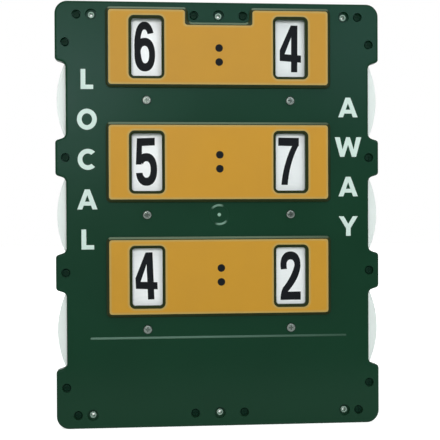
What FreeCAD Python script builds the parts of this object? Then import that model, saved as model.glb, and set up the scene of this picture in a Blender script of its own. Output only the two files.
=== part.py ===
import FreeCAD, Part
import math
import os

import Sketcher

# A court-side scoreboard that hangs on a fence: two moulded shells hold six number discs.
# Each disc turns on its own pivot, its rim shows in a thumb notch at the side of the board,
# and one of its numbers shows in a window of a raised score bar.
# X points right, Z up and the front faces -Y. The origin is the middle of the back face.
# Heights below are measured from the back face towards the front.

sizes = {
    # number discs and the way they are set out
    "disc_diameter": 256,
    "disc_thickness": 1.2,
    "disc_rim_chamfer": 0.3,
    "disc_gap": 8,
    "layer_gap": 0.6,
    # shells
    "wall": 3,
    "side_margin": 2,
    "end_margin": 10,
    "corner_radius": 18,
    "front_edge_radius": 3,
    "back_edge_radius": 2,
    "seam_chamfer": 0.5,
    "back_rib_thickness": 2,
    "tongue_thickness": 1.6,
    "tongue_rise": 2,
    "tongue_clearance": 0.2,
    "tongue_end_gap": 6.6,
    # thumb notches and the slots that let the disc rims out
    "notch_depth": 15,
    "notch_floor": 105.2,
    "notch_flare": 4.8,
    "notch_mouth_radius": 5,
    "notch_floor_radius": 8,
    "slot_overrun": 5.5,
    "slot_clearance": 1,
    # raised score bars, windows and labels
    "bar_rise": 6,
    "bar_foot": 3,
    "bar_gap": 49.4,
    "bar_corner_radius": 7,
    "bar_wall": 4,
    "window_width": 43,
    "window_height": 82,
    "window_corner_radius": 4,
    "window_lip": 0.2,
    "window_frame_wall": 2.5,
    "label_side_border": 32.5,
    "label_end_border": 12,
    "label_thickness": 0.5,
    "label_corner_radius": 4,
    "label_margin": 1.3,
    "label_window_gap": 1.3,
    "bar_notch_gap": 2.3,
    "bar_notch_drop": 1.7,
    "bar_notch_rise": 6.7,
    "bar_pivot_gap": 2,
    # marks moulded on the front face
    "bead_inset": 50,
    "bead_width": 3.6,
    "bead_rise": 0.7,
    "bead_drop": 12,
    "gate_diameter": 31,
    "gate_ring_width": 3.6,
    "gate_ring_rise": 0.7,
    "nub_diameter": 6,
    "nub_rise": 1,
    # pivots
    "barrel_diameter": 10,
    "barrel_head_diameter": 18,
    "barrel_head_thickness": 1.6,
    "barrel_head_sink": 0.4,
    "barrel_slot_width": 1.6,
    "barrel_slot_depth": 0.7,
    "barrel_bottom": 2,
    "barrel_head_clearance": 0.5,
    "pivot_clearance": 0.05,
    "ring_clearance": 0.1,
    "boss_diameter": 24,
    "front_boss_height": 0.8,
    "back_boss_height": 3,
    "washer_diameter": 24,
    "washer_thickness": 0.5,
    "washer_clearance": 0.1,
    "spacer_diameter": 18,
    "pivot_screw_diameter": 6,
    "pivot_screw_head_diameter": 13,
    "pivot_screw_head_height": 3.4,
    "pivot_screw_head_radius": 2.4,
    "pivot_screw_tip_gap": 1,
    "thread_clearance": 0.05,
    "screw_hole_clearance": 0.2,
    # screws that close the shells
    "shell_screw_diameter": 4,
    "shell_screw_head_diameter": 10,
    "shell_screw_head_height": 3,
    "shell_screw_head_radius": 1.2,
    "shell_screw_floor": 2,
    "shell_screw_tip_gap": 0.5,
    "counterbore_diameter": 13,
    "counterbore_depth": 6.5,
    "back_post_height": 5,
    "front_post_diameter": 16,
    "back_post_diameter": 12,
    "end_screw_inset": 19.4,
    "side_screw_inset": 14.5,
    "corner_screw_inset": 30.7,
    "middle_post_gap": 17.2,
    "post_gap": 3.2,
    # drive recesses of both kinds of screw
    "cross_length": 6.4,
    "cross_width": 1.8,
    "cross_depth": 1.8,
    # holes that the board hangs from, and the eyelets that line them
    "hang_hole_diameter": 7.5,
    "hang_recess_diameter": 16,
    "hang_recess_depth": 6,
    "hang_post_diameter": 20.4,
    "hang_screw_spacing": 20.8,
    "eyelet_hole_diameter": 4.5,
    "eyelet_flange_diameter": 10.4,
    "eyelet_flange_rise": 1.8,
    "eyelet_flange_radius": 1.3,
    "eyelet_clearance": 0.1,
    "eyelet_back_gap": 0.3,
}

doc = FreeCAD.newDocument("tennis_scoreboard")
sheet = doc.addObject("Spreadsheet::Sheet", "sizes")
for line, (name, size) in enumerate(sizes.items(), start=1):
    sheet.set(f"A{line}", name)
    sheet.set(f"B{line}", str(size))
    sheet.setAlias(f"B{line}", name)
doc.recompute()

# Places worked out from the sizes, as expressions that the sketches and features are bound to.
# The bars stack up with a strip of green between them, and that sets the rows.
bar_slope = "(sizes.bar_rise - sizes.bar_foot)"
bar_grow = f"(sizes.label_margin + {bar_slope})"
label_half = "(sizes.window_height / 2 + sizes.label_end_border)"
row_pitch = f"(2 * {label_half} + 2 * {bar_grow} + sizes.bar_gap)"
# Discs of one layer stand corner to corner, so the columns follow from the rows and the gap.
disc_radius = "sizes.disc_diameter / 2"
pivot_x = f"(sqrt((sizes.disc_diameter + sizes.disc_gap) ^ 2 - {row_pitch} ^ 2) / 2)"
half_width = f"({pivot_x} + {disc_radius} + sizes.side_margin)"
# The middle screws stand beside the middle hanging hole. Their row is far enough from the end
# pivots for the discs to clear both the posts and the end wall.
post_radius = "sizes.front_post_diameter / 2"
middle_column = f"(sizes.hang_post_diameter / 2 + sizes.middle_post_gap + {post_radius})"
wall_drop = f"{disc_radius} + sizes.end_margin + sizes.wall - sizes.end_screw_inset"
post_drop = (f"sqrt(({disc_radius} + sizes.post_gap + {post_radius}) ^ 2"
             f" - ({pivot_x} - {middle_column}) ^ 2)")
end_drop = f"max({wall_drop}; {post_drop})"
end_row = f"({row_pitch} + {end_drop})"
half_height = f"({end_row} + sizes.end_screw_inset)"
side_column = f"({half_width} - sizes.side_screw_inset)"
corner_column = f"({half_width} - sizes.corner_screw_inset)"
hang_column = f"({corner_column} - sizes.hang_screw_spacing)"
# The top bar reaches past the middle screws, and every bar clears the pivot screws under it.
window_bevel = "(sizes.wall - sizes.window_lip)"
window_offset = (f"max({end_drop} + sizes.bar_notch_rise - {label_half};"
                 f" {label_half} + {bar_grow} + sizes.pivot_screw_head_diameter / 2"
                 " + sizes.bar_pivot_gap)")
label_side = "(sizes.window_width / 2 + sizes.label_side_border)"
bead_half_length = f"({half_width} - sizes.bead_inset)"
rows = {"top": row_pitch, "middle": "0", "bottom": f"-{row_pitch}"}
sides = {"left": f"-{pivot_x}", "right": pivot_x}

# A disc covers the windows of the row below it unless it lies behind the disc there, and it
# meets the disc beside it, so each disc lies one layer in front of those above and to the left.
last_layer = len(rows) + len(sides) - 2
layer_pitch = "(sizes.disc_thickness + sizes.layer_gap)"

# The stack on a pivot, from the back boss to the front boss, sets the depth of the board.
washer_room = "(sizes.washer_thickness + sizes.washer_clearance)"
back_boss = "(sizes.wall + sizes.back_boss_height)"
front_boss = (f"({back_boss} + {last_layer} * {layer_pitch}"
              f" + 2 * {washer_room} + sizes.disc_thickness)")
ceiling = f"({front_boss} + sizes.front_boss_height)"
face = f"({ceiling} + sizes.wall)"
bar_face = f"({face} + sizes.bar_rise)"
bar_ceiling = f"({bar_face} - sizes.wall)"
# The shells meet just behind the rearmost disc, so that the slots for the rims reach the seam.
seam = f"({back_boss} + {washer_room} - sizes.slot_clearance)"
post_joint = "(sizes.wall + sizes.back_post_height)"
hang_seat = f"({face} - sizes.hang_recess_depth)"


# Height of the back of a disc in a layer, counted from the rearmost.
def layer_height(layer):
    return f"({back_boss} + {layer} * {layer_pitch} + {washer_room})"


def number(expression):
    return float(sheet.evalExpression(expression))


def origin_feature(body, role):
    for feature in body.Origin.OriginFeatures:
        if feature.Role == role:
            return feature


def new_body(label):
    body = doc.addObject("PartDesign::Body", label)
    body.Label = label
    return body


# A sketch on one of its body's own planes, moved along the sketch's three axes.
def plane_sketch(body, name, plane, right, up, out):
    sketch = body.newObject("Sketcher::SketchObject", name)
    sketch.AttachmentSupport = [(origin_feature(body, plane), "")]
    sketch.MapMode = "FlatFace"
    for axis, shift in (("x", right), ("y", up), ("z", out)):
        sketch.setExpression(f"AttachmentOffset.Base.{axis}", shift)
    return sketch


# Front sketches lie at a height above the back face, with X right and Z up.
def front_sketch(body, name, height, x="0", z="0"):
    return plane_sketch(body, name, "XZ_Plane", x, z, height)


# Turning sketches hold the axis of a round piece as their upright axis, at column x and row z.
def turning_sketch(body, name, x, z):
    return plane_sketch(body, name, "XY_Plane", x, "0", z)


# Ties one point of a sketch to its two distances from the sketch's origin.
def pin(sketch, geometry, point, x, y):
    for kind, expression, axis in (("DistanceX", x, -2), ("DistanceY", y, -1)):
        if expression == "0":
            sketch.addConstraint(Sketcher.Constraint("PointOnObject", geometry, point, axis))
        else:
            constraint = Sketcher.Constraint(kind, -1, 1, geometry, point, number(expression))
            index = sketch.addConstraint(constraint)
            sketch.setExpression(f"Constraints[{index}]", expression)


def add_polygon(sketch, corners):
    first = sketch.GeometryCount
    count = len(corners)
    points = [FreeCAD.Vector(number(x), number(y), 0) for x, y in corners]
    for index in range(count):
        sketch.addGeometry(Part.LineSegment(points[index], points[(index + 1) % count]), False)
    for index in range(count):
        following = first + (index + 1) % count
        sketch.addConstraint(Sketcher.Constraint("Coincident", first + index, 2, following, 1))
    for index, (x, y) in enumerate(corners):
        pin(sketch, first + index, 1, x, y)


def add_rectangle(sketch, x, y, half_x, half_y):
    left = f"{x} - {half_x}"
    right = f"{x} + {half_x}"
    low = f"{y} - {half_y}"
    high = f"{y} + {half_y}"
    add_polygon(sketch, [(left, low), (right, low), (right, high), (left, high)])


# A section under an arc that runs counterclockwise from its first corner to its second, closed
# by straight sides through the other corners.
def add_arched(sketch, corners, radius):
    arc = sketch.GeometryCount
    count = len(corners)
    points = [FreeCAD.Vector(number(x), number(y), 0) for x, y in corners]
    chord = points[1] - points[0]
    inward = FreeCAD.Vector(-chord.y, chord.x, 0).normalize()
    center = points[0] + chord / 2 + inward * math.sqrt(number(radius) ** 2 - chord.Length ** 2 / 4)
    angles = [math.atan2(point.y - center.y, point.x - center.x) for point in points[:2]]
    circle = Part.Circle(center, FreeCAD.Vector(0, 0, 1), number(radius))
    sketch.addGeometry(Part.ArcOfCircle(circle, *angles), False)
    for index in range(1, count):
        sketch.addGeometry(Part.LineSegment(points[index], points[(index + 1) % count]), False)
    for index in range(count):
        following = arc + (index + 1) % count
        sketch.addConstraint(Sketcher.Constraint("Coincident", arc + index, 2, following, 1))
    for index, (x, y) in enumerate(corners):
        pin(sketch, arc + index, 1, x, y)
    size = sketch.addConstraint(Sketcher.Constraint("Radius", arc, number(radius)))
    sketch.setExpression(f"Constraints[{size}]", radius)


def add_circle(sketch, x, y, diameter):
    center = FreeCAD.Vector(number(x), number(y), 0)
    circle = Part.Circle(center, FreeCAD.Vector(0, 0, 1), number(diameter) / 2)
    index = sketch.addGeometry(circle, False)
    pin(sketch, index, 3, x, y)
    size = sketch.addConstraint(Sketcher.Constraint("Diameter", index, number(diameter)))
    sketch.setExpression(f"Constraints[{size}]", diameter)


# Adds material from the sketch, along the way that it faces.
def pad(body, sketch, length):
    feature = body.newObject("PartDesign::Pad", f"{sketch.Name}_pad")
    feature.Profile = sketch
    feature.setExpression("Length", length)
    doc.recompute()
    return feature


# Cuts from the sketch towards the front, or towards the back, and makes sure that it did cut.
def pocket(body, sketch, length, to_front):
    before = body.Shape.Volume
    feature = body.newObject("PartDesign::Pocket", f"{sketch.Name}_pocket")
    feature.Profile = sketch
    feature.setExpression("Length", length)
    feature.Reversed = to_front
    doc.recompute()
    if not body.Shape.Volume < before:
        raise ValueError(f"{feature.Name} cuts nothing")
    return feature


def dress(body, kind, feature, edges, size):
    if not edges:
        raise ValueError(f"no edges for {kind} on {feature.Name}")
    dressed = body.newObject(f"PartDesign::{kind}", f"{feature.Name}_{kind.lower()}")
    dressed.Base = (feature, edges)
    dressed.setExpression("Radius" if kind == "Fillet" else "Size", size)
    doc.recompute()
    return dressed


# How near an edge has to lie to a place or a height to be picked there.
near = 0.01


def named_edges(feature, wanted):
    edges = enumerate(feature.Shape.Edges, start=1)
    return [f"Edge{index}" for index, edge in edges if wanted(edge)]


# Edges of a feature that lie flat at one height above the back face.
def edges_at(feature, height, accept=lambda box: True):
    level = -number(height)

    def wanted(edge):
        box = edge.BoundBox
        flat = abs(box.YMin - level) < near and abs(box.YMax - level) < near
        return flat and accept(box)

    return named_edges(feature, wanted)


# Edges of a feature that run front to back through one of the given columns and rows.
def edges_through(feature, places):
    spots = [(number(x), number(z)) for x, z in places]

    def wanted(edge):
        box = edge.BoundBox
        upright = box.XLength < near and box.ZLength < near
        x = box.Center.x
        z = box.Center.z
        return upright and any(abs(x - u) < near and abs(z - v) < near for u, v in spots)

    return named_edges(feature, wanted)


def every_sign(x, z):
    return [(f"{a}{x}", f"{b}{z}") for a in ("", "-") for b in ("", "-")]


end_screw_places = every_sign(corner_column, end_row) + every_sign(middle_column, end_row)
side_screw_places = (every_sign(side_column, f"{row_pitch} / 2")
                     + every_sign(side_column, f"{row_pitch} * 1.5"))
screw_places = end_screw_places + side_screw_places
hang_places = every_sign(hang_column, end_row) + [("0", end_row), ("0", f"-{end_row}")]
pivot_places = [(x, z) for x in sides.values() for z in rows.values()]

# Thumb notches: the floor lies one notch depth in, and both flanks slope out to the mouth.
notch_floor_x = f"({half_width} - sizes.notch_depth)"
floor_half = "sizes.notch_floor / 2"
mouth_half = f"({floor_half} + sizes.notch_flare)"


# Corners of the board's side from one end to the other, moved inwards by a wall where asked.
def side_corners(sign, inset):
    flank = "(sizes.notch_flare / sizes.notch_depth)"
    shift = f"{inset} * sqrt(1 + {flank} ^ 2)"
    mouth_shift = f"({shift} - {inset} * {flank})"
    edge = f"{sign}({half_width} - {inset})"
    floor = f"{sign}({notch_floor_x} - {inset})"
    corners = []
    for row in reversed(rows.values()):
        corners.append((edge, f"{row} - {mouth_half} - {mouth_shift}"))
        corners.append((floor, f"{row} - {floor_half} - {mouth_shift}"))
        corners.append((floor, f"{row} + {floor_half} + {mouth_shift}"))
        corners.append((edge, f"{row} + {mouth_half} + {mouth_shift}"))
    return corners


# The board's outline, or the same outline moved inwards by the wall.
def outline_corners(inset):
    edge = f"({half_width} - {inset})"
    end = f"({half_height} - {inset})"
    right = side_corners("", inset)
    left = [(x, z) for x, z in reversed(side_corners("-", inset))]
    return ([(f"-{edge}", f"-{end}"), (edge, f"-{end}")] + right
            + [(edge, end), (f"-{edge}", end)] + left)


# A slab with the board's outline, rounded at its corners and in its notches.
def board_slab(body, bottom, thickness):
    sketch = front_sketch(body, f"{body.Label}_outline", bottom)
    add_polygon(sketch, outline_corners("0"))
    slab = pad(body, sketch, thickness)
    corners = edges_through(slab, every_sign(half_width, half_height))
    slab = dress(body, "Fillet", slab, corners, "sizes.corner_radius")
    for column, half, radius in ((half_width, mouth_half, "sizes.notch_mouth_radius"),
                                 (notch_floor_x, floor_half, "sizes.notch_floor_radius")):
        places = []
        for row in rows.values():
            for sign in ("", "-"):
                places.append((f"{sign}{column}", f"{row} + {half}"))
                places.append((f"{sign}{column}", f"{row} - {half}"))
        slab = dress(body, "Fillet", slab, edges_through(slab, places), radius)
    return slab


def hollow(body, start, depth, to_front):
    sketch = front_sketch(body, f"{body.Label}_cavity", start)
    add_polygon(sketch, outline_corners("sizes.wall"))
    pocket(body, sketch, depth, to_front)


def posts(body, name, places, diameter, bottom, top):
    sketch = front_sketch(body, name, bottom)
    for x, z in places:
        add_circle(sketch, x, z, diameter)
    return pad(body, sketch, f"{top} - {bottom}")


def bores(body, name, places, diameter, start, end):
    sketch = front_sketch(body, name, start)
    for x, z in places:
        add_circle(sketch, x, z, diameter)
    return pocket(body, sketch, f"{end} - {start}", True)


def turn(body, sketch):
    feature = body.newObject("PartDesign::Revolution", f"{sketch.Name}_turn")
    feature.Profile = sketch
    feature.ReferenceAxis = (sketch, ["V_Axis"])
    doc.recompute()
    return feature


# Radius of a shallow round top, from its width and its rise.
def crown_radius(width, rise):
    return f"(({width} / 2) ^ 2 + {rise} ^ 2) / (2 * {rise})"


# A low dome on the face.
def dome(body, name, x, z, width, rise):
    sketch = turning_sketch(body, name, x, z)
    add_arched(sketch, [("0", f"-({face} + {rise})"), (f"{width} / 2", f"-{face}"),
                        ("0", f"-{face}")], crown_radius(width, rise))
    turn(body, sketch)


# Outline of a score bar or label at one row, grown outwards from the label's edge.
def bar_corners(row, grow):
    side = f"({pivot_x} + {label_side} + {grow})"
    low = f"{row} + {window_offset} - {label_half} - {grow}"
    high = f"{row} + {window_offset} + {label_half} + {grow}"
    base = [(f"-{side}", low), (side, low), (side, high)]
    if row != rows["top"]:
        return base + [(f"-{side}", high)]
    # The top bar steps down between the two middle screws.
    rim = f"({bar_grow} + sizes.bar_notch_gap)"
    notch_x = f"({middle_column} + sizes.counterbore_diameter / 2 + {rim} - {grow})"
    notch_z = (f"({end_row} - sizes.counterbore_diameter / 2 - {rim} - sizes.bar_notch_drop"
               f" + {grow})")
    return base + [(notch_x, high), (notch_x, notch_z), (f"-{notch_x}", notch_z),
                   (f"-{notch_x}", high), (f"-{side}", high)]


def window_places():
    return [(x, f"{z} + {window_offset}") for x, z in pivot_places]


def window_corners(grow):
    corners = []
    for x, z in window_places():
        for u in ("+", "-"):
            for v in ("+", "-"):
                corners.append((f"{x} {u} (sizes.window_width / 2 + {grow})",
                                f"{z} {v} (sizes.window_height / 2 + {grow})"))
    return corners


def front_shell():
    body = new_body("front_shell")
    slab = board_slab(body, seam, f"{face} - {seam}")
    slab = dress(body, "Fillet", slab, edges_at(slab, face), "sizes.front_edge_radius")
    dress(body, "Chamfer", slab, edges_at(slab, seam), "sizes.seam_chamfer")
    # raised score bars with sloping sides
    sketch = front_sketch(body, "score_bars", face)
    for row in rows.values():
        add_polygon(sketch, bar_corners(row, bar_grow))
    bars = pad(body, sketch, "sizes.bar_rise")
    bar_edges = []
    for row in rows.values():
        bar_edges += edges_through(bars, bar_corners(row, bar_grow))
    bars = dress(body, "Fillet", bars, bar_edges, "sizes.bar_corner_radius")
    dress(body, "Chamfer", bars, edges_at(bars, bar_face), bar_slope)
    # hollow inside, one wall thick under the face and under the bars, with a frame at each window
    hollow(body, seam, f"{ceiling} - {seam}", True)
    sketch = front_sketch(body, "bar_cavities", ceiling)
    for row in rows.values():
        add_polygon(sketch, bar_corners(row, f"({bar_grow} - sizes.bar_wall)"))
    for x, z in window_places():
        add_rectangle(sketch, x, z, "(sizes.window_width / 2 + sizes.window_frame_wall)",
                      "(sizes.window_height / 2 + sizes.window_frame_wall)")
    pocket(body, sketch, f"{bar_ceiling} - {ceiling}", True)
    # posts for screws, hanging holes and pivots
    posts(body, "front_posts", screw_places, "sizes.front_post_diameter", post_joint, ceiling)
    posts(body, "front_hang_posts", hang_places, "sizes.hang_post_diameter", post_joint, ceiling)
    posts(body, "front_bosses", pivot_places, "sizes.boss_diameter", front_boss, ceiling)
    # windows with bevelled sides
    sketch = front_sketch(body, "windows", ceiling)
    for x, z in window_places():
        add_rectangle(sketch, x, z, "sizes.window_width / 2", "sizes.window_height / 2")
    cut = pocket(body, sketch, f"{bar_face} - {ceiling}", True)
    cut = dress(body, "Fillet", cut, edges_through(cut, window_corners("0")),
                "sizes.window_corner_radius")
    centers = [(number(x), number(z)) for x, z in window_places()]
    reach_x = number("sizes.window_width") / 2 + near
    reach_z = number("sizes.window_height") / 2 + near

    def beside_window(box):
        middle = box.Center
        return any(abs(middle.x - x) < reach_x and abs(middle.z - z) < reach_z for x, z in centers)

    dress(body, "Chamfer", cut, edges_at(cut, bar_face, beside_window), window_bevel)
    # holes for screws and hanging
    bores(body, "counterbores", screw_places, "sizes.counterbore_diameter",
          f"({face} - sizes.counterbore_depth)", face)
    bores(body, "screw_holes", screw_places,
          "sizes.shell_screw_diameter + 2 * sizes.screw_hole_clearance", post_joint, face)
    bores(body, "front_hang_holes", hang_places, "sizes.hang_hole_diameter", post_joint, face)
    bores(body, "front_hang_recesses", hang_places, "sizes.hang_recess_diameter", hang_seat, face)
    bores(body, "pivot_holes", pivot_places,
          "sizes.pivot_screw_diameter + 2 * sizes.screw_hole_clearance", front_boss, face)
    # slots in the notch walls, from the seam to just in front of the foremost disc
    sketch = front_sketch(body, "thumb_slots", seam)
    for row in rows.values():
        for sign in ("", "-"):
            add_rectangle(sketch, f"{sign}({notch_floor_x} - sizes.wall / 2)", row,
                          "(sizes.wall / 2 + sizes.slot_overrun)",
                          f"({floor_half} + sizes.slot_overrun)")
    slot_top = f"({layer_height(last_layer)} + sizes.disc_thickness + sizes.slot_clearance)"
    pocket(body, sketch, f"{slot_top} - {seam}", True)
    # moulding gate mark in the middle: a round-topped ring with a domed nub inside it
    ring_radius = "(sizes.gate_diameter - sizes.gate_ring_width) / 2"
    sketch = turning_sketch(body, "gate_ring", "0", "0")
    add_arched(sketch, [(f"({ring_radius} - sizes.gate_ring_width / 2)", f"-{face}"),
                        (f"({ring_radius} + sizes.gate_ring_width / 2)", f"-{face}")],
               crown_radius("sizes.gate_ring_width", "sizes.gate_ring_rise"))
    turn(body, sketch)
    dome(body, "gate_nub", "0", "0", "sizes.nub_diameter", "sizes.nub_rise")
    # a long round-topped bead with domed ends, under the bottom row
    bead_level = f"-({row_pitch} + sizes.bead_drop)"
    sketch = plane_sketch(body, "bead", "YZ_Plane", "0", bead_level, f"-{bead_half_length}")
    add_arched(sketch, [(f"-{face}", "sizes.bead_width / 2"), (f"-{face}", "-sizes.bead_width / 2")],
               crown_radius("sizes.bead_width", "sizes.bead_rise"))
    pad(body, sketch, f"2 * {bead_half_length}")
    for sign, end in (("-", "left"), ("", "right")):
        dome(body, f"bead_end_{end}", f"{sign}{bead_half_length}", bead_level,
             "sizes.bead_width", "sizes.bead_rise")
    return body


# Places and half sizes of the tongues inside the front shell's wall: one along each end of the
# board and one beside each land between two notches.
def tongues(inner_gap, thickness):
    reach = f"(sizes.wall + {inner_gap} + {thickness} / 2)"
    end_half = f"({half_width} - sizes.corner_radius - sizes.wall)"
    side_half = f"({row_pitch} / 2 - {mouth_half} - sizes.wall - sizes.tongue_end_gap)"
    places = []
    for sign in ("", "-"):
        places.append(("0", f"{sign}({half_height} - {reach})", end_half, f"{thickness} / 2"))
        for level in (f"-{row_pitch} / 2", f"{row_pitch} / 2"):
            places.append((f"{sign}({half_width} - {reach})", level, f"{thickness} / 2", side_half))
    return places


def back_shell():
    body = new_body("back_shell")
    slab = board_slab(body, "0", seam)
    slab = dress(body, "Fillet", slab, edges_at(slab, "0"), "sizes.back_edge_radius")
    dress(body, "Chamfer", slab, edges_at(slab, seam), "sizes.seam_chamfer")
    hollow(body, seam, f"{seam} - sizes.wall", False)
    # ribs along the rows and the columns of pivots
    half_rib = "sizes.back_rib_thickness / 2"
    sketch = front_sketch(body, "upright_ribs", "sizes.wall")
    for x in list(sides.values()) + ["0"]:
        add_rectangle(sketch, x, "0", half_rib, f"({half_height} - sizes.wall)")
    pad(body, sketch, "sizes.back_boss_height")
    sketch = front_sketch(body, "level_ribs", "sizes.wall")
    for z in (f"-{row_pitch}", f"-{row_pitch} / 2", f"{row_pitch} / 2", row_pitch):
        add_rectangle(sketch, "0", z, f"({notch_floor_x} - sizes.wall)", half_rib)
    pad(body, sketch, "sizes.back_boss_height")
    # tongues that stand past the seam, rooted in thicker strips along the wall
    root = "(sizes.tongue_thickness + sizes.tongue_clearance)"
    sketch = front_sketch(body, "tongue_roots", "sizes.wall")
    for x, z, half_x, half_z in tongues("0", root):
        add_rectangle(sketch, x, z, half_x, half_z)
    pad(body, sketch, f"{seam} - sizes.wall")
    sketch = front_sketch(body, "tongues", seam)
    for x, z, half_x, half_z in tongues("sizes.tongue_clearance", "sizes.tongue_thickness"):
        add_rectangle(sketch, x, z, half_x, half_z)
    pad(body, sketch, "sizes.tongue_rise")
    posts(body, "back_posts", screw_places, "sizes.back_post_diameter", "sizes.wall", post_joint)
    posts(body, "back_hang_posts", hang_places, "sizes.hang_post_diameter",
          "sizes.wall", post_joint)
    posts(body, "back_bosses", pivot_places, "sizes.boss_diameter", "sizes.wall", back_boss)
    bores(body, "pilot_holes", screw_places,
          "sizes.shell_screw_diameter + 2 * sizes.thread_clearance",
          "(sizes.shell_screw_floor - sizes.shell_screw_tip_gap)", post_joint)
    bores(body, "back_hang_holes", hang_places, "sizes.hang_hole_diameter", "0", post_joint)
    bores(body, "barrel_holes", pivot_places,
          "sizes.barrel_diameter + 2 * sizes.ring_clearance", "0", back_boss)
    bores(body, "barrel_head_sinks", pivot_places,
          "sizes.barrel_head_diameter + 2 * sizes.barrel_head_clearance",
          "0", "(sizes.barrel_head_sink + sizes.barrel_head_thickness)")
    return body


def score_label(row_name):
    row = rows[row_name]
    body = new_body(f"score_label_{row_name}")
    sketch = front_sketch(body, f"label_outline_{row_name}", bar_face)
    add_polygon(sketch, bar_corners(row, "0"))
    grow = f"({window_bevel} + sizes.label_window_gap)"
    for x in sides.values():
        add_rectangle(sketch, x, f"{row} + {window_offset}",
                      f"(sizes.window_width / 2 + {grow})", f"(sizes.window_height / 2 + {grow})")
    label = pad(body, sketch, "sizes.label_thickness")
    corners = edges_through(label, bar_corners(row, "0"))
    label = dress(body, "Fillet", label, corners, "sizes.label_corner_radius")
    dress(body, "Fillet", label, edges_through(label, window_corners(grow)),
          f"sizes.window_corner_radius + {grow}")
    return body


# A flat ring round a pivot, from one height over a length.
def add_ring(body, name, x, z, outer, clearance, bottom, length):
    sketch = front_sketch(body, name, bottom, x, z)
    add_circle(sketch, "0", "0", outer)
    add_circle(sketch, "0", "0", f"sizes.barrel_diameter + 2 * {clearance}")
    return pad(body, sketch, length)


# The disc, washers and spacer rings on one pivot. Every pivot has the same rings: as many stand
# behind the disc as there are layers behind it, and the others stand in front.
def pivot_stack(row_name, side_name, layer):
    x = sides[side_name]
    z = rows[row_name]
    place = f"{row_name}_{side_name}"
    back = layer_height(layer)
    disc = new_body(f"number_disc_{place}")
    ring = add_ring(disc, f"disc_{place}", x, z, "sizes.disc_diameter", "sizes.pivot_clearance",
                    back, "sizes.disc_thickness")
    wide = number("sizes.disc_diameter") / 2
    rims = named_edges(ring, lambda edge: edge.BoundBox.XLength > wide)
    dress(disc, "Chamfer", ring, rims, "sizes.disc_rim_chamfer")

    washers = new_body(f"friction_washers_{place}")
    rear_washer = f"({back} - {washer_room})"
    front_washer = f"({back} + sizes.disc_thickness + sizes.washer_clearance)"
    for name, bottom in (("rear", rear_washer), ("front", front_washer)):
        add_ring(washers, f"{name}_washer_{place}", x, z, "sizes.washer_diameter",
                 "sizes.ring_clearance", bottom, "sizes.washer_thickness")

    stack = [disc, washers]
    for index in range(last_layer):
        spacer = new_body(f"spacer_ring_{place}_{index + 1}")
        behind = f"({back_boss} + {index} * {layer_pitch})"
        ahead = f"({front_boss} - {last_layer - index} * {layer_pitch})"
        add_ring(spacer, f"ring_{place}_{index + 1}", x, z, "sizes.spacer_diameter",
                 "sizes.ring_clearance", behind if index < layer else ahead, layer_pitch)
        stack.append(spacer)
    return stack


# Repeats a finished piece over a grid that is centred on the board.
def grid(body, name, half_x, half_z, columns, levels):
    pattern = body.newObject("PartDesign::LinearPattern", name)
    pattern.TransformMode = "Whole shape"
    pattern.Direction = (origin_feature(body, "X_Axis"), [""])
    pattern.setExpression("Length", f"2 * {half_x}")
    pattern.Occurrences = columns
    pattern.Direction2 = (origin_feature(body, "Z_Axis"), [""])
    pattern.setExpression("Length2", f"2 * {half_z}")
    pattern.Occurrences2 = levels
    body.Tip = pattern
    doc.recompute()


# A round piece turned from the corners of its half section, given as radius and height.
def turned(body, name, x, z, section):
    sketch = turning_sketch(body, name, x, z)
    add_polygon(sketch, [(radius, f"-{height}") for radius, height in section])
    return turn(body, sketch)


# A pan-head screw with a cross recess, seated at one height and pointing to the back.
def pan_screw(body, name, x, z, seat, tip, thread, head, rise, rounding):
    top = f"({seat} + {rise})"
    section = [("0", tip), (f"{thread} / 2", tip), (f"{thread} / 2", seat),
               (f"{head} / 2", seat), (f"{head} / 2", top), ("0", top)]
    screw = turned(body, name, x, z, section)
    dress(body, "Fillet", screw, edges_at(screw, top), rounding)
    sketch = front_sketch(body, f"{name}_cross", top, x, z)
    arm = "sizes.cross_length / 2"
    half = "sizes.cross_width / 2"
    add_polygon(sketch, [(half, half), (arm, half), (arm, f"-{half}"), (half, f"-{half}"),
                         (half, f"-{arm}"), (f"-{half}", f"-{arm}"), (f"-{half}", f"-{half}"),
                         (f"-{arm}", f"-{half}"), (f"-{arm}", half), (f"-{half}", half),
                         (f"-{half}", arm), (half, arm)])
    pocket(body, sketch, "sizes.cross_depth", False)


def pivot_screws():
    body = new_body("pivot_screws")
    bottom = "(sizes.barrel_head_sink + sizes.barrel_bottom + sizes.pivot_screw_tip_gap)"
    pan_screw(body, "pivot_screw", f"-{pivot_x}", f"-{row_pitch}", face, bottom,
              "sizes.pivot_screw_diameter", "sizes.pivot_screw_head_diameter",
              "sizes.pivot_screw_head_height", "sizes.pivot_screw_head_radius")
    grid(body, "pivot_screw_grid", pivot_x, row_pitch, 2, 3)
    return body


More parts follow.
